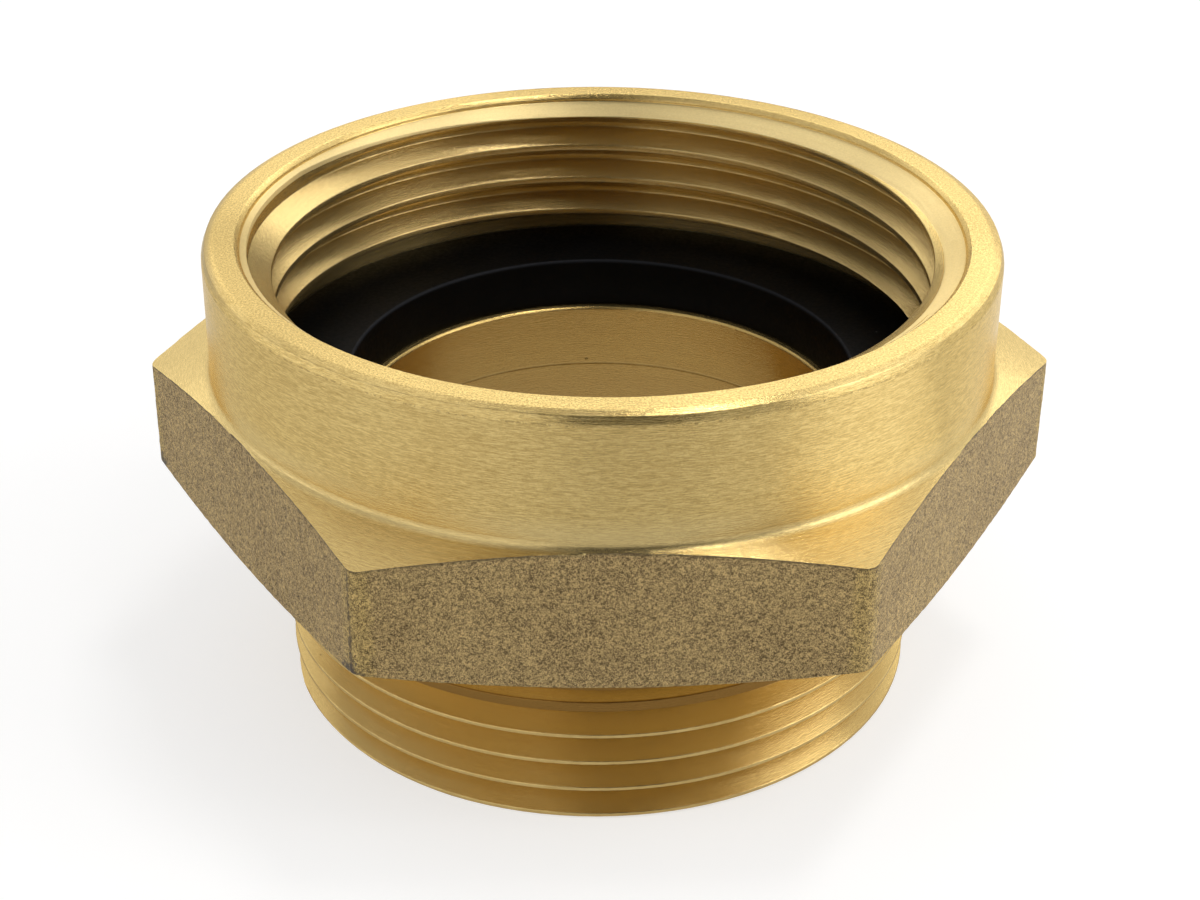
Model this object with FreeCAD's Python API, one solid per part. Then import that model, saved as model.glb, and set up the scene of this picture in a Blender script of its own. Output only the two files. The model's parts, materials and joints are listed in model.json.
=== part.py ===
"""Fire hose adapter: coarse female hose thread above, wrench hexagon, tapered male pipe thread below.

Millimetres. The foot of the male thread stands on z = 0, and the common axis is +Z.
"""
import math
import os

import FreeCAD
import Part

Vector = FreeCAD.Vector

# Waterway
bore_radius = 18.1
seat_chamfer = 0.4          # broken edge where the seat meets the bore
foot_bore_chamfer = 0.9     # lead at the foot of the waterway

# Male pipe thread
male_length = 14.9          # foot to the underside of the hexagon
male_wall = 3.81            # brass between waterway and thread root at the foot
male_pitch = 2.31
male_crest_share = 0.12     # crest flat as a share of the pitch; the root is sharp
male_taper = 1 / 32         # growth of radius per length
male_groove_rise = 2.05     # middle of the first whole groove above the foot, on the +X side
male_full_length = 9.6      # full-depth thread above the foot
male_runout_turns = 1.3     # turns over which the groove fades out
male_runout_angle = 27.0    # slope of the groove as it leaves the metal, degrees

# Hexagon
hex_height = 10.4           # underside to the foot of the collar
hex_flat_step = 0.3         # flats stand proud of the collar
hex_corner_round = 1.2
hex_top_slope = 16.6        # turned cone that trims the upper corners, degrees
hex_foot_slope = 14.0       # turned cone that trims the lower corners, degrees

# Collar and socket
collar_wall = 2.7           # brass outside the gasket recess
collar_length = 9.7         # foot of the collar to the rim
collar_foot_fillet = 0.5
rim_outer_round = 0.8
rim_inner_bevel = 0.3
lip_depth = 0.55            # plain lip inside the rim
lip_clearance = 0.5         # lip radius over the thread's major radius
shoulder_drop = 0.48        # fall of the shoulder from the lip to the first crest

# Female hose thread
socket_major_radius = 25.43
socket_pitch = 2.822
socket_flat_share = 0.162   # crest and root flats, each as a share of the pitch
socket_thread_length = 9.2  # lip to the end of the thread
socket_groove_drop = 3.01   # middle of the first whole groove under the rim, on the +X side
start_cut_angle = 220.0     # middle of the milled-away thread start, from +X, degrees
start_cut_root_half = 67.0  # half angle over which the first ridge is gone to its root, degrees
start_cut_crest_half = 122.0  # half angle at which its crest is whole again, degrees

# Gasket and its recess
recess_clearance = 0.47     # recess radius over the thread's major radius
recess_height = 5.65        # end of the thread to the seat
gasket_thickness = 4.0
gasket_setback = 0.5        # gasket hole radius over the bore
gasket_clearance = 0.15     # between gasket and recess wall

flank = math.radians(30)    # each thread flank leans this far from square to the axis
past = 2.0                  # how far a cutter runs clear of the brass
lap = 0.12                  # how far a thread cutter starts above the crest
seam_angle = 40.0           # where every turned surface closes on itself, degrees
rounding_steps = 2          # cones that make up each turned rounding

hex_foot_z = male_length
collar_foot_z = hex_foot_z + hex_height
rim_z = collar_foot_z + collar_length
lip_z = rim_z - lip_depth
shoulder_z = lip_z - shoulder_drop
thread_end_z = lip_z - socket_thread_length
seat_z = thread_end_z - recess_height

recess_radius = socket_major_radius + recess_clearance
lip_radius = socket_major_radius + lip_clearance
collar_radius = recess_radius + collar_wall
hex_apothem = collar_radius + hex_flat_step
hex_corner_radius = hex_apothem / math.cos(math.radians(30))


def thread_depth(pitch, crest_share, root_share):
    """Radial depth of a thread with these flats."""
    return pitch * (1 - crest_share - root_share) / 2 / math.tan(flank)


socket_depth = thread_depth(socket_pitch, socket_flat_share, socket_flat_share)
socket_minor_radius = socket_major_radius - socket_depth
male_depth = thread_depth(male_pitch, male_crest_share, 0)
male_foot_radius = bore_radius + male_wall + male_depth


def male_radius(height):
    """Crest radius of the tapered male thread at a height."""
    return male_foot_radius + male_taper * height


def closed_profile(corners):
    """Closed wire in the XZ plane through (radius, height, rounding) corners, roundings as short cones."""
    places = [Vector(radius, 0, height) for radius, height, _ in corners]
    points = []
    for index, (_, _, rounding) in enumerate(corners):
        here = places[index]
        if not rounding:
            points.append(here)
            continue
        back = (places[index - 1] - here).normalize()
        ahead = (places[(index + 1) % len(places)] - here).normalize()
        half = back.getAngle(ahead) / 2
        inward = (back + ahead).normalize()
        centre = here + inward * (rounding / math.sin(half))
        side = (ahead - back).normalize()
        sweep = math.pi / 2 - half
        for step in range(rounding_steps + 1):
            turn = sweep * (2 * step / rounding_steps - 1)
            points.append(centre - inward * (rounding * math.cos(turn)) + side * (rounding * math.sin(turn)))
    points.append(points[0])
    return Part.makePolygon(points)


def turned(corners):
    """Solid of revolution about the common axis, its seam clear of where the helical cuts begin and end."""
    face = Part.Face(closed_profile(corners))
    face.rotate(Vector(0, 0, 0), Vector(0, 0, 1), seam_angle)
    return face.revolve(Vector(0, 0, 0), Vector(0, 0, 1), 360)


def helix_path(pitch, radius, turns, cone_angle):
    """Right-hand helix from +X, one edge for each turn, widening upward by the cone angle."""
    slant = math.radians(cone_angle)
    edges = []
    for turn in range(math.ceil(turns)):
        start_z = pitch * turn
        rise = pitch * min(1, turns - turn)
        start_radius = radius + start_z * math.tan(slant)
        edge = Part.makeHelix(pitch / math.cos(slant), rise / math.cos(slant), start_radius, cone_angle).Edges[0]
        edge.translate(Vector(0, 0, start_z))
        edges.append(edge)
    return Part.Wire(edges)


def swept_along_helix(section, pitch, radius, start_z, turns, start_angle=0.0, cone_angle=0.0):
    """Solid swept up a right-hand helix by a section of (radius, height) points, height from the path."""
    outline = [Vector(r, 0, z) for r, z in section]
    outline.append(outline[0])
    sweep = Part.BRepOffsetAPI.MakePipeShell(helix_path(pitch, radius, turns, cone_angle))
    sweep.setBiNormalMode(Vector(0, 0, 1))
    sweep.add(Part.makePolygon(outline))
    sweep.build()
    sweep.makeSolid()
    solid = sweep.shape()
    solid.rotate(Vector(0, 0, 0), Vector(0, 0, 1), start_angle)
    solid.translate(Vector(0, 0, start_z))
    return solid


def socket_groove():
    """Female thread groove, from inside the gasket recess to clear of the rim."""
    root_half = socket_pitch * socket_flat_share / 2
    mouth_half = root_half + (socket_depth + lap) * math.tan(flank)
    mouth_radius = socket_minor_radius - lap
    section = [
        (mouth_radius, mouth_half),
        (socket_major_radius, root_half),
        (socket_major_radius, -root_half),
        (mouth_radius, -mouth_half),
    ]
    first_z = rim_z - socket_groove_drop
    turns_down = math.floor((first_z - thread_end_z + mouth_half) / socket_pitch) + 1
    turns_up = math.ceil((socket_groove_drop + mouth_half) / socket_pitch)
    start_z = first_z - turns_down * socket_pitch
    return swept_along_helix(section, socket_pitch, socket_minor_radius, start_z, turns_down + turns_up)


def socket_start_cut():
    """Takes the thin start of the first ridge away, down to the root of the groove under it."""
    reach = math.radians(start_cut_root_half)
    whole = math.radians(start_cut_crest_half)
    offset = socket_depth / (math.cos(reach) - math.cos(whole))
    mill_radius = math.hypot(socket_major_radius - offset * math.cos(reach), offset * math.sin(reach))
    direction = math.radians(start_cut_angle)
    centre = Vector(offset * math.cos(direction), offset * math.sin(direction), shoulder_z - past)
    mill = Part.makeCylinder(mill_radius, lip_depth + shoulder_drop + 2 * past, centre)
    limit = Part.makeCylinder(socket_major_radius, rim_z + past)
    half_turn = start_cut_crest_half / 360
    section = [
        (socket_minor_radius - past, 0),
        (socket_major_radius + past, 0),
        (socket_major_radius + past, socket_pitch),
        (socket_minor_radius - past, socket_pitch),
    ]
    start_angle = start_cut_angle - start_cut_crest_half
    start_z = rim_z - socket_groove_drop + socket_pitch * start_angle / 360
    band = swept_along_helix(
        section, socket_pitch, socket_minor_radius, start_z, 2 * half_turn, start_angle)
    return band.common(mill).common(limit)


def male_groove():
    """Male thread groove: full depth from below the foot, then a steeper cone that fades it out."""
    mouth_half = (male_depth + lap) * math.tan(flank)
    foot_z = male_groove_rise - 2 * male_pitch
    full_turns = round((male_full_length - foot_z) / male_pitch)
    full_angle = math.degrees(math.atan(male_taper))

    def section(root_radius):
        return [
            (root_radius, 0),
            (root_radius + male_depth + lap, mouth_half),
            (root_radius + male_depth + lap, -mouth_half),
        ]

    foot_root = male_radius(foot_z) - male_depth
    runout_z = foot_z + full_turns * male_pitch
    full = swept_along_helix(section(foot_root), male_pitch, foot_root, foot_z, full_turns, 0, full_angle)
    runout_root = male_radius(runout_z) - male_depth
    runout = swept_along_helix(
        section(runout_root), male_pitch, runout_root, runout_z, male_runout_turns, 0, male_runout_angle)
    return full, runout


def hexagon():
    """Hexagon bar with rounded corners, one corner on +X."""
    corners = [
        Vector(hex_corner_radius * math.cos(math.radians(60 * side)),
               hex_corner_radius * math.sin(math.radians(60 * side)), -past)
        for side in range(7)
    ]
    bar = Part.Face(Part.makePolygon(corners)).extrude(Vector(0, 0, rim_z + 2 * past))
    upright = [edge for edge in bar.Edges if abs(edge.tangentAt(edge.FirstParameter).z) > 0.99]
    return bar.makeFillet(hex_corner_round, upright)


def outer_form():
    """Turned outside: male blank, both hexagon cones, collar and rim."""
    overhang = hex_corner_radius + past - hex_apothem
    brim = hex_corner_radius + past
    foot_rise = overhang * math.tan(math.radians(hex_foot_slope))
    top_fall = (brim - collar_radius) * math.tan(math.radians(hex_top_slope))
    return turned([
        (0, 0, 0),
        (male_foot_radius, 0, 0),
        (male_radius(hex_foot_z), hex_foot_z, 0),
        (hex_apothem, hex_foot_z, 0),
        (brim, hex_foot_z + foot_rise, 0),
        (brim, collar_foot_z - top_fall, 0),
        (collar_radius, collar_foot_z, collar_foot_fillet),
        (collar_radius, rim_z, rim_outer_round),
        (0, rim_z, 0),
    ])


def inner_form():
    """Turned inside: lip, shoulder, thread bore, gasket recess, seat and waterway."""
    return turned([
        (0, -past, 0),
        (bore_radius + foot_bore_chamfer + past, -past, 0),
        (bore_radius, foot_bore_chamfer, 0),
        (bore_radius, seat_z - seat_chamfer, 0),
        (bore_radius + seat_chamfer, seat_z, 0),
        (recess_radius, seat_z, 0),
        (recess_radius, thread_end_z, 0),
        (socket_minor_radius, thread_end_z, 0),
        (socket_minor_radius, shoulder_z, 0),
        (lip_radius, lip_z, 0),
        (lip_radius, rim_z - rim_inner_bevel, 0),
        (lip_radius + rim_inner_bevel + past, rim_z + past, 0),
        (0, rim_z + past, 0),
    ])


def adapter_body():
    body = outer_form().common(hexagon()).cut(inner_form())
    for cutter in (socket_groove(), socket_start_cut(), *male_groove()):
        body = body.cut(cutter)
    return body.Solids[0]


def hose_gasket():
    inner = bore_radius + gasket_setback
    outer = recess_radius - gasket_clearance
    top_z = seat_z + gasket_thickness
    return turned([
        (inner, seat_z, 0),
        (outer, seat_z, 0),
        (outer, top_z, 0),
        (inner, top_z, 0),
    ])


os.makedirs("parts", exist_ok=True)
for name, shape in (("adapter_body", adapter_body()), ("hose_gasket", hose_gasket())):
    print(name, shape.ShapeType, shape.isValid(), len(shape.Solids), round(shape.Volume, 1))
    shape.exportStep("parts/" + name + ".step")
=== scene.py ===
"""Fire hose adapter: a brass body with a female hose thread above and a male pipe thread below,
and the loose rubber gasket that lies in its socket. Metres, +Z up, standing on the male end."""
import json
import math

import bmesh
import bpy
from mathutils import Matrix, Vector, noise

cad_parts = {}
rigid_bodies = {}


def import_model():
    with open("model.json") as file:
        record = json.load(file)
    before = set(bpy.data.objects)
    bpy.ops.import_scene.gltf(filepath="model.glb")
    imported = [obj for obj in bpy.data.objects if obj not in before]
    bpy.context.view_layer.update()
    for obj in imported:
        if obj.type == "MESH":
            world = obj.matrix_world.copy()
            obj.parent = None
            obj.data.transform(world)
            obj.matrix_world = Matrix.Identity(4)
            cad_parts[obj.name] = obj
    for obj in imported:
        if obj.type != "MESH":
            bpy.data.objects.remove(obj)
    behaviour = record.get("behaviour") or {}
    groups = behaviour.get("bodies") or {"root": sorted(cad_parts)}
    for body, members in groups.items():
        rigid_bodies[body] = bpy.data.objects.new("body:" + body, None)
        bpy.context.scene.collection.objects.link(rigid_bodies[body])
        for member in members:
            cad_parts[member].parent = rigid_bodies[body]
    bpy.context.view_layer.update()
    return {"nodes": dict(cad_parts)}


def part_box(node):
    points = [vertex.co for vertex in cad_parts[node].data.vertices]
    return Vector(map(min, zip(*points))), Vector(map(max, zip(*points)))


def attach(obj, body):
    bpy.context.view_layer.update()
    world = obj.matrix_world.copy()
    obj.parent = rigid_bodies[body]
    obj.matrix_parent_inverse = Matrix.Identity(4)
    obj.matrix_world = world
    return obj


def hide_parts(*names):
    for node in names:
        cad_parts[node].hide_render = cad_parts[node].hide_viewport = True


for leftover in list(bpy.data.objects):
    bpy.data.objects.remove(leftover)
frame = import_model()
collection = bpy.context.scene.collection


# Body. One brass casting, turned all over but for the hexagon, whose six sides keep the
# grain of the sand mould. The turned edges are broken by hand, so each has a fine round.

MERGE = 2e-6                                  # corners closer than this become one
SIDE_FOOT, SIDE_TOP = 0.0149, 0.0253          # heights between which the hexagon's sides lie
SIDE_REACH = 0.0287                           # every cast face lies farther from the axis
SIDE_SLACK = 0.0001
UPRIGHT = 0.1                                 # the sides' normals rise or fall less than this
BORE_RADIUS = 0.0181
SEAT_HEIGHT = 0.0196
SEAT_CHAMFER = 0.0005                         # the CAD's chamfer lies this near to the seat's edge
SEAT_EDGE = 0.45                              # share of that chamfer that stays
COLLAR_REACH = 0.0277                         # the collar's outer steps lie farther out
ROUNDING_FOOT = 0.034
COLLAR_FOOT_LOW, COLLAR_FOOT_HIGH = 0.0249, 0.0262
SOFT_STEP, SHARP_STEP = 12, 38                # degrees between two faces
SOFT_STEP_MOST = 40
ROUND_SOFTEN = 0.00013                        # softens the steps of the rim's rounding
EDGE_ROUND = 0.00006
GRAIN_STEPS = 0.004, 0.002, 0.001, 0.0006, 0.00034    # edge lengths of the cast sides' mesh
STEP_SLACK = 1.3                              # edges up to this many steps long stay whole
IN_ONE_PLANE = 0.02                           # radians
GRAIN_PER_METRE = 1500
GRAIN_DEPTH = 0.00008
SLIVER = 2e-7                                 # faces thinner than this go
SHARP_SHADING = 0.8                           # radians

body_mesh = frame["nodes"]["adapter_body"].data.copy()
body_mesh.name = "brass_body"
body_mesh.materials.clear()
bm = bmesh.new()
bm.from_mesh(body_mesh)
bmesh.ops.remove_doubles(bm, verts=bm.verts, dist=MERGE)


def from_axis(v):
    return math.hypot(v.co.x, v.co.y)


def is_cast(face):
    c = face.calc_center_median()
    return (abs(face.normal.z) < UPRIGHT and math.hypot(c.x, c.y) > SIDE_REACH
            and SIDE_FOOT - SIDE_SLACK < c.z < SIDE_TOP + SIDE_SLACK)


def cast_faces():
    return [f for f in bm.faces if f.material_index == 1]


def turned(edge):
    """True where the edge lies between two turned faces."""
    return len(edge.link_faces) == 2 and all(f.material_index == 0 for f in edge.link_faces)


def round_edges(bm, edges, offset, segments, clamp=False):
    bmesh.ops.bevel(bm, geom=edges, offset=offset, offset_type="OFFSET", segments=segments,
                    profile=0.5, affect="EDGES", clamp_overlap=clamp, material=-1, loop_slide=False)


def add_object(name, data):
    """An object in the scene that shows a mesh, lamp or camera."""
    thing = bpy.data.objects.new(name, data)
    collection.objects.link(thing)
    return thing


for face in bm.faces:
    face.smooth = True
    face.material_index = 1 if is_cast(face) else 0

# the edge between the seat and the waterway is barely broken
for v in bm.verts:
    r = from_axis(v)
    if math.hypot(r - BORE_RADIUS, v.co.z - SEAT_HEIGHT) < SEAT_CHAMFER:
        new_r = BORE_RADIUS + (r - BORE_RADIUS) * SEAT_EDGE
        v.co.x, v.co.y = v.co.x * new_r / r, v.co.y * new_r / r
        v.co.z = SEAT_HEIGHT + (v.co.z - SEAT_HEIGHT) * SEAT_EDGE

# the rim's outer rounding and the collar's foot are cut with a round-nosed tool
soft = [e for e in bm.edges if turned(e)
        and SOFT_STEP < math.degrees(e.calc_face_angle(0.0)) < SOFT_STEP_MOST
        and all(from_axis(v) > COLLAR_REACH for v in e.verts)
        and all(v.co.z > ROUNDING_FOOT or COLLAR_FOOT_LOW < v.co.z < COLLAR_FOOT_HIGH
                for v in e.verts)]
round_edges(bm, soft, ROUND_SOFTEN, 3)
sharp = [e for e in bm.edges if turned(e) and math.degrees(e.calc_face_angle(0.0)) > SHARP_STEP]
round_edges(bm, sharp, EDGE_ROUND, 2)

# the cast sides are divided finely and get the unevenness of the mould
for step in GRAIN_STEPS:
    long_edges = list({e for f in cast_faces() for e in f.edges
                       if e.calc_length() > step * STEP_SLACK})
    bmesh.ops.subdivide_edges(bm, edges=long_edges, cuts=1)
    bmesh.ops.triangulate(bm, faces=[f for f in bm.faces if len(f.verts) > 3])
    inner = list({e for f in cast_faces() for e in f.edges
                  if all(g.material_index == 1 for g in e.link_faces)
                  and e.calc_face_angle(0.0) < IN_ONE_PLANE})
    bmesh.ops.beautify_fill(bm, faces=cast_faces(), edges=inner)

for v in {v for f in cast_faces() for v in f.verts}:
    out = Vector((v.co.x, v.co.y, 0)).normalized()
    rough = noise.fractal(v.co * GRAIN_PER_METRE, 0.6, 2.0, 3)
    v.co -= out * (GRAIN_DEPTH * min(max(0.5 - 0.4 * rough, 0.0), 1.0))
for v in bm.verts:
    v.co.z = max(v.co.z, 0.0)
bmesh.ops.dissolve_degenerate(bm, dist=SLIVER, edges=bm.edges[:])

for e in bm.edges:
    one_finish = len({f.material_index for f in e.link_faces}) == 1
    e.smooth = one_finish and e.calc_face_angle(0.0) < SHARP_SHADING
bm.to_mesh(body_mesh)
bm.free()
body = add_object("brass_body", body_mesh)
weighted = body.modifiers.new("even_shading", "WEIGHTED_NORMAL")
weighted.keep_sharp = True
weighted.weight = 80


def new_material(name):
    """A material, its node tree and its shader."""
    material = bpy.data.materials.new(name)
    material.use_nodes = True
    return material, material.node_tree, material.node_tree.nodes["Principled BSDF"]


def put(tree, kind, *values, **settings):
    """A node with its settings, and its inputs by position: a number or colour, a socket, or None."""
    node = tree.nodes.new("ShaderNode" + kind)
    for name, value in settings.items():
        setattr(node, name, value)
    for socket, value in zip([i for i in node.inputs if i.enabled], values):
        if isinstance(value, bpy.types.NodeSocket):
            tree.links.new(value, socket)
        elif value is not None:
            socket.default_value = value
    return next(o for o in node.outputs if o.enabled)


def place_on(tree):
    return tree.nodes.new("ShaderNodeTexCoord").outputs["Object"]


def level_of(tree, place):
    """The place, brought down to height 0."""
    return put(tree, "VectorMath", place, (1, 1, 0), operation="MULTIPLY")


def away(tree, place, point=(0, 0, 0)):
    """How far the place is from a point."""
    return put(tree, "VectorMath", place, point, operation="DISTANCE").node.outputs["Value"]


def math_node(tree, operation, *values):
    return put(tree, "Math", *values, operation=operation)


def times(tree, *masks):
    """The masks multiplied together."""
    product, *others = masks
    for mask in others:
        product = math_node(tree, "MULTIPLY", product, mask)
    return product


def noise_node(tree, vector, scale, detail=2.0, roughness=0.5):
    return put(tree, "TexNoise", vector, scale, detail, roughness)


def ramp(tree, factor, *stops):
    """A colour ramp of (place, colour) stops."""
    node = tree.nodes.new("ShaderNodeValToRGB")
    tree.links.new(factor, node.inputs[0])
    elements = node.color_ramp.elements
    while len(elements) < len(stops):
        elements.new(0.5)
    for element, (at, colour) in zip(elements, stops):
        element.position = at
        element.color = (*colour, 1)
    return node.outputs[0]


def spread(tree, value, low, high, from_value=0.0, to_value=1.0):
    """The value between low and high, laid onto the range from_value to to_value and kept in it."""
    return put(tree, "MapRange", value, low, high, from_value, to_value)


def line_at(tree, value, at, outer, inner, strength):
    """A thin line where the value is at: faint from outer and full from inner on."""
    off = math_node(tree, "ABSOLUTE", math_node(tree, "SUBTRACT", value, at))
    return spread(tree, off, outer, inner, 0.0, strength)


def mix(tree, factor, a, b, blend="MIX"):
    return put(tree, "Mix", factor, a, b, data_type="RGBA", blend_type=blend)


def group(name, inputs, output):
    """An empty node group with (name, default) inputs and one number as its output."""
    tree = bpy.data.node_groups.new(name, "ShaderNodeTree")
    for label, value in inputs:
        socket = tree.interface.new_socket(label, in_out="INPUT", socket_type="NodeSocketFloat")
        socket.default_value = value
    tree.interface.new_socket(output, in_out="OUTPUT", socket_type="NodeSocketFloat")
    return tree, tree.nodes.new("NodeGroupInput").outputs, tree.nodes.new("NodeGroupOutput").inputs


def use(tree, made, **values):
    """Places a group in a material, and gives its output."""
    node = tree.nodes.new("ShaderNodeGroup")
    node.node_tree = made
    for label, value in values.items():
        node.inputs[label].default_value = value
    return node.outputs[0]


# lines that the turning tool leaves round the axis, broken up along their length
turning, given, out = group("turning_lines", [("spacing", 0.0002), ("breaks", 4.0)], "lines")
place = place_on(turning)
x, y, z = put(turning, "SeparateXYZ", place).node.outputs
radius = away(turning, level_of(turning, place))
across = math_node(turning, "DIVIDE", radius, given["spacing"])
up = math_node(turning, "DIVIDE", z, given["spacing"])
cosine, sine = (times(turning, math_node(turning, "DIVIDE", side, radius), given["breaks"])
                for side in (x, y))
lines = put(turning, "TexNoise", put(turning, "CombineXYZ", across, cosine, sine), up, 1.0, 2.0,
            0.6, noise_dimensions="4D")
turning.links.new(lines, out["lines"])

# scattered fine specks: pits in metal, dust on rubber
specks, given, out = group("specks", [("spacing", 0.003), ("size", 0.05)], "specks")
cells = put(specks, "TexVoronoi", place_on(specks),
            math_node(specks, "DIVIDE", 1.0, given["spacing"])).node
reach = times(specks, put(specks, "SeparateColor", cells.outputs["Color"]), given["size"])
outward = math_node(specks, "DIVIDE", cells.outputs["Distance"], reach)
inside = times(specks, math_node(specks, "SUBTRACT", 1.0, outward), 3.0)
inside.node.use_clamp = True
specks.links.new(inside, out["specks"])

# where one finish gives way to the next: the height or radius where it begins and where it is full
RIM_FACE = 0.03485, 0.03495
ROUNDING = 0.0343, 0.0345
ROUNDING_RUBBED = 0.0344, 0.0347
ROUNDING_END = 0.03497, 0.0349
COLLAR_WALL = 0.0278, 0.0283
PALE_BELOW = 0.0278, 0.0262
CONE_FOOT = 0.0226, 0.0228
SHOULDER_LOW = 0.03392, 0.034
SHOULDER_HIGH = 0.03446, 0.03443
SHOULDER_EDGE = 0.0262, 0.026
SOCKET_WALL = 0.0262, 0.0258
SOCKET_LOW = 0.019, 0.021
SOCKET_HIGH = 0.0339, 0.0336
WATERWAY = 0.0186, 0.0184
PIPE_THREAD = 0.0165, 0.0135
THREAD_TAPER = -1 / 32
THREAD_CREST = 0.02355, 0.02361
LAST_TURN_SLOPE = -0.0151
LAST_TURN = 0.0091, 0.0094
THREAD_TOP = 0.0148, 0.0146
FIRST_TURNS = 0.0091, 0.009
LEFT_SIDE = -0.0235, -0.0255
REAMED_TO = 0.0145
GRIME_HEIGHT = 0.03418

EVEN_BRASS = 0.68, 0.49, 0.18, 1
SATIN = 0.92, 0.76, 0.4, 1
SOCKET_PAINTED_SHADE = 0.5, 0.38, 0.175, 1
FOOT_PAINTED_LIGHT = 0.74, 0.58, 0.27, 1
BROWN_WATERWAY = 0.58, 0.385, 0.12, 1
BROWN_THREAD = 0.52, 0.35, 0.14, 1
LAST_CREST_PAINTED_SHADE = 0.27, 0.145, 0.035, 1
RUBBED = 0.86, 0.66, 0.29, 1
LEFT_PAINTED_SHADE = 0.36, 0.28, 0.15, 1
GRIME = 0.2, 0.13, 0.05, 1

brass, tree, shader = new_material("turned_brass")
shader.inputs["Metallic"].default_value = 0.93
shader.inputs["Specular Tint"].default_value = (1.0, 0.9, 0.68, 1)
shader.inputs["Anisotropic"].default_value = 1.0
shader.inputs["Anisotropic Rotation"].default_value = 0.25
tree.links.new(put(tree, "Tangent", direction_type="RADIAL", axis="Z"), shader.inputs["Tangent"])
place = place_on(tree)
apart = put(tree, "SeparateXYZ", place).node.outputs
x, z = apart["X"], apart["Z"]
radius = away(tree, level_of(tree, place))
fine = use(tree, turning, spacing=0.00006, breaks=50.0)
medium = use(tree, turning, spacing=0.0001, breaks=6.0)
broad = use(tree, turning, spacing=0.0009, breaks=1.2)
grain = noise_node(tree, place, 7000, 1.0, 0.5)
cloud = noise_node(tree, place, 130, 3.0, 0.6)
pits = use(tree, specks, spacing=0.004, size=0.04)

# the turning lines show more inside the socket than on the collar
outside = spread(tree, radius, *COLLAR_WALL)
colour = mix(tree, 0.45,
             ramp(tree, fine, (0.38, (0.38, 0.255, 0.08)), (0.5, (0.68, 0.49, 0.18)),
                  (0.62, (0.98, 0.75, 0.32))),
             ramp(tree, medium, (0.36, (0.58, 0.41, 0.14)), (0.64, (0.78, 0.585, 0.23))))
colour = mix(tree, spread(tree, outside, 0.0, 1.0, 0.7, 0.0), colour, EVEN_BRASS)
colour = mix(tree, 0.1, colour,
             ramp(tree, broad, (0.35, (0.6, 0.42, 0.15)), (0.65, (0.76, 0.56, 0.215))))
colour = mix(tree, 0.15, colour,
             ramp(tree, cloud, (0.35, (0.62, 0.42, 0.14)), (0.65, (0.74, 0.55, 0.22))))

# the rim's face is finely speckled, and the paler shoulder inside it a little less
shoulder = times(tree, spread(tree, z, *SHOULDER_LOW), spread(tree, z, *SHOULDER_HIGH),
                 spread(tree, radius, *SHOULDER_EDGE))
faced = math_node(tree, "MAXIMUM", spread(tree, z, *RIM_FACE, 0.08, 0.36),
                  times(tree, shoulder, 0.25))
colour = mix(tree, faced, colour,
             ramp(tree, grain, (0.38, (0.42, 0.28, 0.09)), (0.62, (0.94, 0.72, 0.3))))
colour = mix(tree, times(tree, shoulder, 0.6), colour, SATIN)

# painted shade: the thread in the socket is painted darker and less orange, for the shade in its
# grooves and the light its flanks reflect onto each other
in_socket = times(tree, spread(tree, radius, *SOCKET_WALL, 0.0, 0.55),
                  spread(tree, z, *SOCKET_LOW), spread(tree, z, *SOCKET_HIGH))
colour = mix(tree, in_socket, colour, SOCKET_PAINTED_SHADE)

# painted light: the cone over the hexagon and the collar's foot are painted a little paler and less
# orange, for the whiter light they reflect onto each other
foot = times(tree, spread(tree, z, *PALE_BELOW, 0.0, 0.5), outside, spread(tree, z, *CONE_FOOT))
colour = mix(tree, foot, colour, FOOT_PAINTED_LIGHT)

# the waterway is a little browner
bored = spread(tree, radius, *WATERWAY)
colour = mix(tree, times(tree, bored, 0.5), colour, BROWN_WATERWAY)

# the pipe thread is browner. Its last crest under the hexagon is painted darkest of all, a painted
# shade that keeps its wide flat from showing a bright reflection
wavy = math_node(tree, "MULTIPLY_ADD", cloud, 0.002, z)
colour = mix(tree, spread(tree, wavy, *PIPE_THREAD, 0.0, 0.3), colour, BROWN_THREAD)
untapered = math_node(tree, "MULTIPLY_ADD", z, THREAD_TAPER, radius)
crest = spread(tree, untapered, *THREAD_CREST)
slanted = math_node(tree, "MULTIPLY_ADD", x, LAST_TURN_SLOPE, z)
last = times(tree, spread(tree, slanted, *LAST_TURN), spread(tree, z, *THREAD_TOP))
colour = mix(tree, times(tree, crest, last), colour, LAST_CREST_PAINTED_SHADE)

# handling has rubbed the other crests and the rim's rounding brighter, in places
handled = math_node(tree, "MAXIMUM", times(tree, crest, spread(tree, z, *FIRST_TURNS)),
                    times(tree, outside, spread(tree, z, *ROUNDING_RUBBED)))
rubs = spread(tree, noise_node(tree, place, 420, 3.0, 0.6), 0.45, 0.62, 0.0, 0.3)
colour = mix(tree, times(tree, rubs, handled), colour, RUBBED)

# painted shade: on the left the rounding is painted darker, where the light falls off
cloudy_x = math_node(tree, "MULTIPLY_ADD", cloud, 0.004, x)
left_rounding_shade = times(tree, outside, spread(tree, z, *ROUNDING), spread(tree, z, *ROUNDING_END),
             spread(tree, cloudy_x, *LEFT_SIDE, 0.0, 0.75))
colour = mix(tree, left_rounding_shade, colour, LEFT_PAINTED_SHADE)

# the reamer's step in the waterway, grime where the rim's rounding begins, and fine pits
step = times(tree, line_at(tree, z, REAMED_TO, 0.00012, 0.00004, 0.35), bored)
patchy = spread(tree, noise_node(tree, place, 2600, 3.0, 0.75), 0.5, 0.6)
grime = times(tree, line_at(tree, z, GRIME_HEIGHT, 0.0001, 0.00003, 0.35), patchy, outside)
grooves = math_node(tree, "MAXIMUM", step, grime)
marks = math_node(tree, "MAXIMUM", times(tree, pits, 0.6), grooves)
colour = mix(tree, marks, colour, GRIME)
tree.links.new(colour, shader.inputs["Base Color"])

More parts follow.
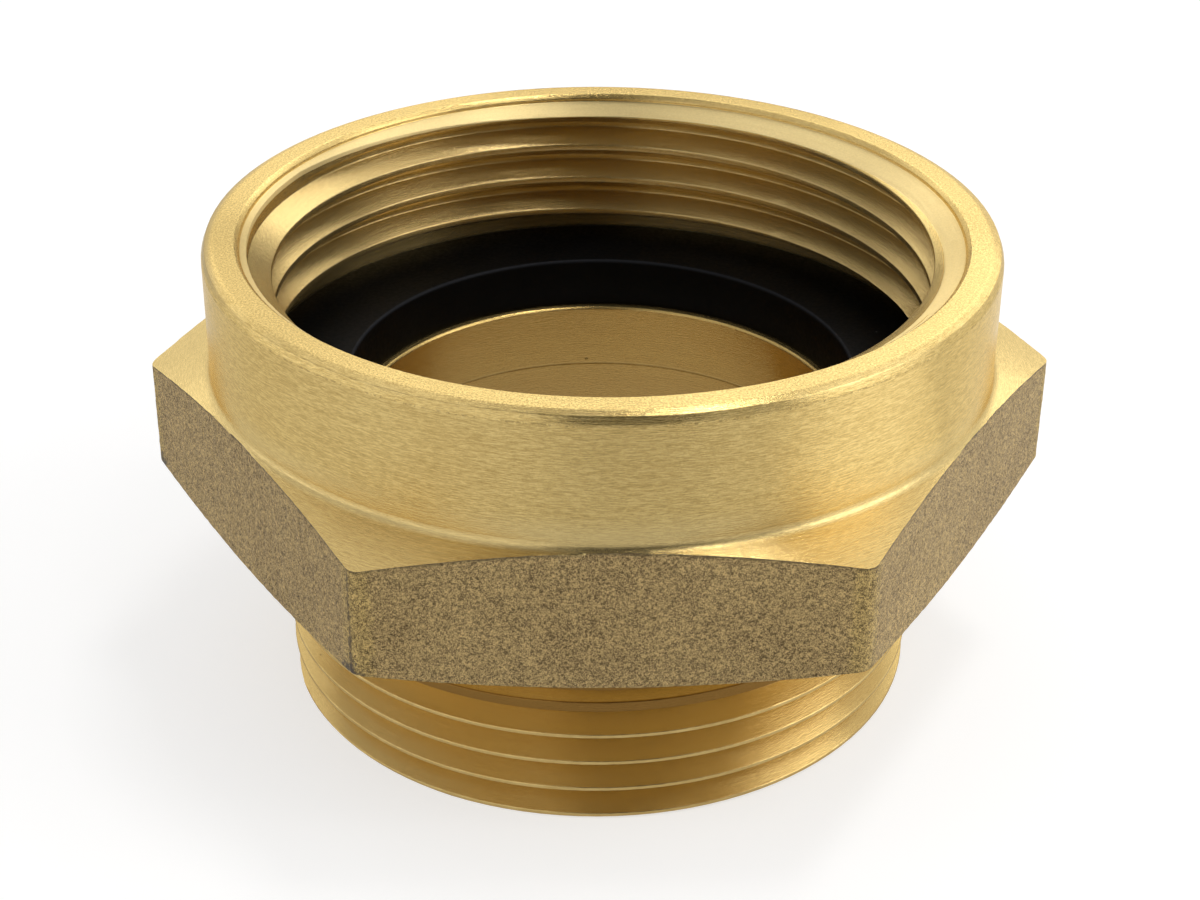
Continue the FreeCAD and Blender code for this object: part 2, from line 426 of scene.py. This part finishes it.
satin = spread(tree, medium, 0.35, 0.65, 0.19, 0.25)
tree.links.new(math_node(tree, "MULTIPLY_ADD", shoulder, 0.25, satin), shader.inputs["Roughness"])
height = math_node(tree, "MULTIPLY_ADD", medium, 0.4, fine)
height = math_node(tree, "MULTIPLY_ADD", broad, 0.5, height)
height = math_node(tree, "MULTIPLY_ADD", marks, -3.0, height)
tree.links.new(put(tree, "Bump", 1.0, 0.00002, 0.1, height), shader.inputs["Normal"])

STAINS = (-0.01695, -0.02813, 0.0157), (-0.03285, -0.0006, 0.0158)
SHADED_CHIPPED_CORNER = -0.01690, -0.02845, 0
ROUNDED_CORNERS = 0.03292, 0.03315
CONE_REACH, CONE_SLOPE = 0.0286, -0.298       # the turned cone meets the collar's radius at SIDE_TOP

FLECK = 0.7, 0.55, 0.27, 1
CORNER_RUB_AND_SHEEN = 1.07, 1.08, 0.95, 1
STAIN = 0.06, 0.052, 0.05, 1
CHIPS_AND_PAINTED_SHADE = 0.08, 0.055, 0.04, 1
BURR_PAINTED_SHADE = 0.07, 0.045, 0.02, 1

cast_brass, tree, shader = new_material("sand_cast_brass")
shader.inputs["Metallic"].default_value = 0.5
place = place_on(tree)
level = level_of(tree, place)
radius = away(tree, level)
z = put(tree, "SeparateXYZ", place).node.outputs["Z"]
sand = noise_node(tree, place, 14000, 1.0, 0.6)
lumps = noise_node(tree, place, 2200, 2.0, 0.6)
patches = noise_node(tree, place, 160, 3.0, 0.6)
shaken = noise_node(tree, place, 12000, 1.0, 0.5).node.outputs["Color"]
ragged = mix(tree, 0.0002, place, shaken, "LINEAR_LIGHT")
flakes = put(tree, "SeparateColor", put(tree, "TexVoronoi", ragged, 12000).node.outputs["Color"])
grains = math_node(tree, "MULTIPLY_ADD", math_node(tree, "SUBTRACT", flakes, 0.5), 0.9, sand)
colour = ramp(tree, grains, (0.41, (0.01, 0.006, 0.002)), (0.5, (0.25, 0.157, 0.06)),
              (0.59, (0.88, 0.65, 0.28)))
colour = mix(tree, 0.2, colour,
             ramp(tree, lumps, (0.38, (0.16, 0.1, 0.035)), (0.62, (0.6, 0.42, 0.18))))
colour = mix(tree, 0.25, colour,
             ramp(tree, patches, (0.35, (0.27, 0.165, 0.06)), (0.65, (0.5, 0.345, 0.145))))
flecks = use(tree, specks, spacing=0.0011, size=0.1)
colour = mix(tree, times(tree, flecks, 0.6), colour, FLECK)

# the rounded corners are painted brighter, partly rubbing and partly a painted sheen where they catch
# the light, with dark stains at two of their lower ends
rubbed_and_lit = math_node(tree, "MULTIPLY_ADD", lumps, 0.0006, radius)
colour = mix(tree, spread(tree, rubbed_and_lit, *ROUNDED_CORNERS), colour, CORNER_RUB_AND_SHEEN, "MULTIPLY")
for stain in STAINS:
    stained = math_node(tree, "MULTIPLY_ADD", lumps, -0.003, away(tree, place, stain))
    colour = mix(tree, spread(tree, stained, -0.0004, -0.0009, 0.0, 0.85), colour, STAIN)

# a dark ragged line down the corner left of the front side: painted shade along the corner, with dark
# chips in it
chips_and_shade = math_node(tree, "MULTIPLY_ADD", noise_node(tree, place, 1100, 3.0, 0.7), -0.0012,
                 away(tree, level, SHADED_CHIPPED_CORNER))
colour = mix(tree, spread(tree, chips_and_shade, -0.00042, -0.00056, 0.0, 0.7), colour, CHIPS_AND_PAINTED_SHADE)

# painted shade: a dark ragged line along the top of the cast skin, for the shadow of the burr that
# the turning tool leaves where it runs out
beyond = math_node(tree, "SUBTRACT", radius, CONE_REACH)
cone_height = math_node(tree, "MULTIPLY_ADD", beyond, CONE_SLOPE, SIDE_TOP)
below = math_node(tree, "SUBTRACT", cone_height, z)
burr_shade = math_node(tree, "MULTIPLY_ADD", lumps, -0.0006, below)
colour = mix(tree, spread(tree, burr_shade, -0.0001, -0.00022, 0.0, 0.6), colour, BURR_PAINTED_SHADE)

tree.links.new(colour, shader.inputs["Base Color"])
tree.links.new(spread(tree, sand, 0.3, 0.7, 0.75, 0.45), shader.inputs["Roughness"])
height = math_node(tree, "MULTIPLY_ADD", lumps, 1.5, sand)
tree.links.new(put(tree, "Bump", 0.8, 0.00005, 0.1, height), shader.inputs["Normal"])

for material in (brass, cast_brass):
    body_mesh.materials.append(material)
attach(body, "root")
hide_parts("adapter_body")


# Gasket. A loose flat ring of black rubber, cut square and lying on the seat below the
# female thread. Its handled edges are a little rounded.

gasket_low, gasket_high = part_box("hose_gasket")
RING_OUTER = gasket_high.x
RING_INNER = 0.0186
RING_EDGE = 0.00025
RING_STEPS = 180
HOLE_EDGE = 0.01885, 0.0187
TOP_EDGE = 0.0233, 0.0235
HOLE_EDGE_PAINTED_HIGHLIGHT = 0.02, 0.021, 0.026, 1
DUST = 0.12, 0.115, 0.1, 1


def mesh_from(name, bm):
    mesh = bpy.data.meshes.new(name)
    bm.to_mesh(mesh)
    bm.free()
    return mesh


bm = bmesh.new()
corners = [bm.verts.new((r, 0, z)) for r, z in (
    (RING_INNER, gasket_low.z), (RING_OUTER, gasket_low.z),
    (RING_OUTER, gasket_high.z), (RING_INNER, gasket_high.z))]
rim = [bm.edges.new((corners[i], corners[(i + 1) % 4])) for i in range(4)]
bmesh.ops.spin(bm, geom=corners + rim, cent=(0, 0, 0), axis=(0, 0, 1), angle=math.tau,
               steps=RING_STEPS, use_merge=True)
bmesh.ops.remove_doubles(bm, verts=bm.verts, dist=1e-6)
bmesh.ops.recalc_face_normals(bm, faces=bm.faces)
square = [e for e in bm.edges if len(e.link_faces) == 2 and e.calc_face_angle(0.0) > 1.0]
round_edges(bm, square, RING_EDGE, 4, clamp=True)
for face in bm.faces:
    face.smooth = True
gasket_mesh = mesh_from("rubber_gasket", bm)
gasket = add_object("rubber_gasket", gasket_mesh)

rubber, tree, shader = new_material("black_rubber")
shader.inputs["Specular IOR Level"].default_value = 0.08
place = place_on(tree)
z = put(tree, "SeparateXYZ", place).node.outputs["Z"]
skin = noise_node(tree, place, 3000, 3.0, 0.6)
bloom = noise_node(tree, place, 220, 3.0, 0.6)
dust = use(tree, specks, spacing=0.0032, size=0.05)
colour = ramp(tree, bloom, (0.4, (0.0004, 0.0004, 0.0004)), (0.7, (0.0016, 0.0015, 0.0014)))
# painted highlight: a faint pale blue-grey line round the top edge of the hole
edge = times(tree, spread(tree, away(tree, level_of(tree, place)), *HOLE_EDGE, 0.0, 0.5),
             spread(tree, z, *TOP_EDGE))
colour = mix(tree, edge, colour, HOLE_EDGE_PAINTED_HIGHLIGHT)
colour = mix(tree, times(tree, dust, 0.5), colour, DUST)
tree.links.new(colour, shader.inputs["Base Color"])
tree.links.new(spread(tree, skin, 0.3, 0.7, 0.42, 0.6), shader.inputs["Roughness"])
tree.links.new(put(tree, "Bump", 0.5, 0.00002, 0.1, skin), shader.inputs["Normal"])
gasket_mesh.materials.append(rubber)
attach(gasket, "root")
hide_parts("hose_gasket")


# Floor. A plain pale sheet that the adapter stands on.

PAPER = (0.5, 0.5, 0.5, 1)
PAPER_GLOW = 0.6
MIRRORED_SHARE = 0.6
FLOOR_REACH = 3.0


def rays(tree):
    """Masks for rays from the camera and for rays that a shiny surface sends on."""
    path = tree.nodes.new("ShaderNodeLightPath").outputs
    mirrored = math_node(tree, "ADD", path["Is Glossy Ray"], path["Is Transmission Ray"])
    return path["Is Camera Ray"], mirrored


bm = bmesh.new()
bmesh.ops.create_grid(bm, x_segments=2, y_segments=2, size=FLOOR_REACH)
floor_mesh = mesh_from("floor", bm)
floor = add_object("floor", floor_mesh)
paper, tree, shader = new_material("white_paper")
shader.inputs["Base Color"].default_value = PAPER
shader.inputs["Roughness"].default_value = 0.9
shader.inputs["Specular IOR Level"].default_value = 0.1
shader.inputs["Emission Color"].default_value = (1, 1, 1, 1)
direct, mirrored = rays(tree)
seen = math_node(tree, "MULTIPLY_ADD", mirrored, MIRRORED_SHARE, direct)
tree.links.new(times(tree, seen, PAPER_GLOW), shader.inputs["Emission Strength"])
floor_mesh.materials.append(paper)


# Studio. A white room, softboxes to the right, behind and above, and the dim side of the
# room behind the camera, which the turned brass shows as its darker bands.

ROOM_LIGHT = 0.62
FLAGS_AWAY = 1.2

world = bpy.data.worlds.new("studio")
bpy.context.scene.world = world
world.use_nodes = True
tree = world.node_tree
background = tree.nodes["Background"]
background.inputs["Color"].default_value = (1, 1, 1, 1)
shown = math_node(tree, "ADD", *rays(tree))
shown.node.use_clamp = True
tree.links.new(spread(tree, shown, 0.0, 1.0, ROOM_LIGHT, 1.0), background.inputs["Strength"])


def towards(azimuth, elevation):
    a, e = math.radians(azimuth), math.radians(elevation)
    return Vector((math.cos(a) * math.cos(e), math.sin(a) * math.cos(e), math.sin(e)))


def width(degrees):
    """The width, 1 m away, of what covers so many degrees."""
    return 2 * math.tan(math.radians(degrees / 2))


def softbox(name, azimuth, elevation, wide, tall, radiance):
    """A lamp 1 m away that covers wide by tall degrees of the object's surroundings."""
    lamp = bpy.data.lights.new(name, "AREA")
    lamp.shape = "RECTANGLE"
    lamp.size = width(wide)
    lamp.size_y = width(tall)
    lamp.energy = radiance * math.pi * lamp.size * lamp.size_y
    box = add_object(name, lamp)
    box.location = towards(azimuth, elevation)
    box.rotation_euler = towards(azimuth, elevation).to_track_quat("Z", "Y").to_euler()
    box.visible_camera = False


def panel(name, matrix, wide, tall, shade):
    """A flat panel that is seen only in reflections."""
    bm = bmesh.new()
    bmesh.ops.create_grid(bm, x_segments=1, y_segments=1, size=0.5)
    bmesh.ops.scale(bm, vec=(wide, tall, 1), verts=bm.verts)
    bmesh.ops.transform(bm, matrix=matrix, verts=bm.verts)
    mesh = mesh_from(name, bm)
    sheet = add_object(name, mesh)
    cloth, _, shader = new_material(name)
    shader.inputs["Base Color"].default_value = (0, 0, 0, 1)
    shader.inputs["Specular IOR Level"].default_value = 0
    shader.inputs["Emission Color"].default_value = (1, 1, 1, 1)
    shader.inputs["Emission Strength"].default_value = shade
    mesh.materials.append(cloth)
    sheet.visible_camera = sheet.visible_diffuse = sheet.visible_shadow = False
    sheet.visible_transmission = False


def flag(name, azimuth, elevation, wide, tall, shade):
    """A dark panel behind the lamps that covers wide by tall degrees."""
    turn = towards(azimuth, elevation).to_track_quat("Z", "Y").to_matrix().to_4x4()
    panel(name, Matrix.Translation(towards(azimuth, elevation) * FLAGS_AWAY) @ turn,
          FLAGS_AWAY * width(wide), FLAGS_AWAY * width(tall), shade)


def card(name, place, tilt, turn, wide, tall, shade):
    """A card near the object, turned in its plane or about Z, and tilted up from the floor."""
    panel(name, Matrix.Translation(place) @ Matrix.Rotation(math.radians(tilt), 4, "X")
          @ Matrix.Rotation(math.radians(turn), 4, "Z"), wide, tall, shade)


softbox("right_light", 346, 34, 36, 36, 1.7)
softbox("left_light", 190, 6, 60, 14, 0.5)
softbox("top_light", 20, 76, 11, 11, 13.0)
softbox("cone_light", 314, 63, 9, 8, 5.0)
flag("camera_side", 279, 38, 44, 70, 0.03)
flag("right_front", 314, 35, 26, 66, 0.38)
flag("left_front", 218, 54, 64, 26, 0.55)
flag("ceiling", 270, 88, 34, 34, 0.28)
flag("left_high", 182, 37, 56, 28, 0.55)
flag("right_top", 338, 64, 26, 20, 0.3)
card("back_card", (0.058, 0.16, 0.170), 90, -9, 0.20, 0.13, 2.35)
card("back_right_card", (0.135, 0.15, 0.105), 90, 0, 0.06, 0.05, 1.8)
card("back_low", (0.014, 0.165, 0.074), 90, 0, 0.058, 0.05, 0.35)
card("floor_card", (0.185, -0.062, 0.0005), 0, -16, 0.3, 0.056, 1.27)
card("back_left_card", (-0.1, 0.16, 0.135), 90, 0, 0.06, 0.07, 1.6)
card("right_card", (0.064, 0.038, 0.0004), 0, 0, 0.06, 0.06, 1.06)
card("front_card", (0.0, -0.18, 0.0004), 0, 0, 0.07, 0.29, 0.68)

bpy.context.scene.view_settings.view_transform = "Standard"

CAMERA_PLACE = -0.004488, -0.1530, 0.1029
CAMERA_TURNS = (-1.66, "Z"), (60.53, "X"), (0.54, "Z")    # degrees: turned, tipped up, rolled
LENS, SENSOR = 69.66, 36                                  # millimetres

camera_data = bpy.data.cameras.new("camera")
camera_data.lens = LENS
camera_data.sensor_width = SENSOR
camera_data.clip_start, camera_data.clip_end = 0.01, 20
camera = add_object("camera", camera_data)
standing = Matrix.Translation(CAMERA_PLACE)
for degrees, axis in CAMERA_TURNS:
    standing = standing @ Matrix.Rotation(math.radians(degrees), 4, axis)
camera.matrix_world = standing
bpy.context.scene.camera = camera
